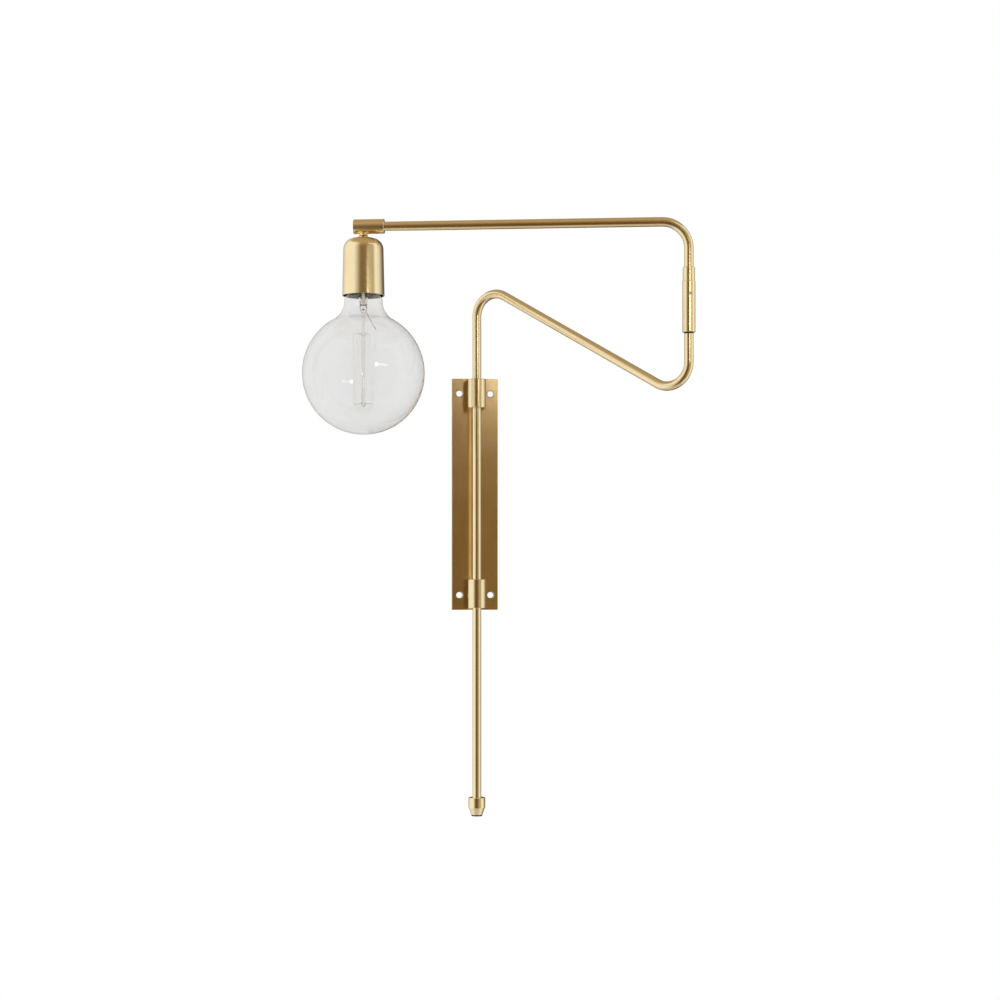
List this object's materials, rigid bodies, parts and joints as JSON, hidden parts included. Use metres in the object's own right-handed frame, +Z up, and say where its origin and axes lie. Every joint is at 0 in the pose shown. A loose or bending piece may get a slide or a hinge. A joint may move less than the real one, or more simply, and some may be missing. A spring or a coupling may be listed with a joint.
{
  "type": "swing arm wall lamp",
  "caption": "Brass swing arm wall lamp: a post that turns and slides in a wall plate's sleeves, a hinged upper arm and a tilting holder with a large clear globe bulb",
  "frame": {"origin": "centre of the wall plate's back face", "axes": "+X to the right for someone facing the wall, +Y into the wall, +Z up"},
  "size_m": [0.3918, 0.1783, 0.621],
  "materials": {
    "brass": "satin brushed",
    "black_plastic": "matte",
    "steel": "plain zinc",
    "contact_brass": "plain stamped",
    "ceramic": "glazed",
    "glass": "clear",
    "cap_metal": "nickel plated",
    "cap_black": "glassy",
    "wire": "drawn wire"
  },
  "bodies": {
    "wall_bracket": {"wall_plate": "brass", "upper_post_sleeve": "brass", "lower_post_sleeve": "brass", "sleeve_screws": "steel", "bush_retaining_screws": "steel"},
    "post_bushes": {"upper_bush": "black_plastic", "lower_bush": "black_plastic"},
    "lower_arm": {"lower_arm_tube": "brass", "gland_body": "brass", "gland_nut": "brass", "gland_insert": "black_plastic", "hinge_pin": "steel", "thrust_washer": "black_plastic", "hinge_retaining_ring": "steel"},
    "upper_arm": {"hinge_sleeve": "brass", "lower_hinge_bush": "black_plastic", "upper_hinge_bush": "black_plastic", "hinge_stop_screw": "steel", "hinge_collar": "brass", "upper_arm_tube": "brass"},
    "lamp_head": {"connector": "brass", "connector_end_cap": "brass", "connector_grub_screw": "steel", "neck_nipple": "steel", "neck_collar": "brass", "holder_cup": "brass", "holder_lock_nut": "steel", "mounting_bridge": "steel", "bridge_screws": "steel", "terminal_screws": "contact_brass", "holder_body": "ceramic", "screw_shell": "contact_brass", "centre_contact": "contact_brass"},
    "bulb": {"glass_globe": "glass", "screw_cap": "cap_metal", "cap_insulator": "cap_black", "tip_contact": "cap_metal", "stem": "glass", "upper_support_wires": "wire", "lower_support_wires": "wire", "lead_wires": "wire", "filament": "wire"}
  },
  "joints": [
    {"name": "post_swing", "type": "hinge", "parent": "wall_bracket", "child": "post_bushes", "pos_m": [0, -0.019, 0], "axis": [0, 0, 1], "range_deg": [-142, 38]},
    {"name": "post_height", "type": "slide", "parent": "post_bushes", "child": "lower_arm", "axis": [0, 0, 1], "range_m": [-0.0661, 0.202]},
    {"name": "elbow_swing", "type": "hinge", "parent": "lower_arm", "child": "upper_arm", "pos_m": [0.19543, -0.17168, 0.15603], "axis": [0, 0, 1], "range_deg": [-4, 312]},
    {"name": "head_tilt", "type": "hinge", "parent": "upper_arm", "child": "lamp_head", "pos_m": [-0.12736, -0.10307, 0.26753], "axis": [0.9781, -0.2079, 0], "range_deg": [-90, 90]},
    {"name": "bulb_removal", "type": "slide", "parent": "lamp_head", "child": "bulb", "axis": [0, 0, -1], "range_m": [0, 0.045]}
  ]
}
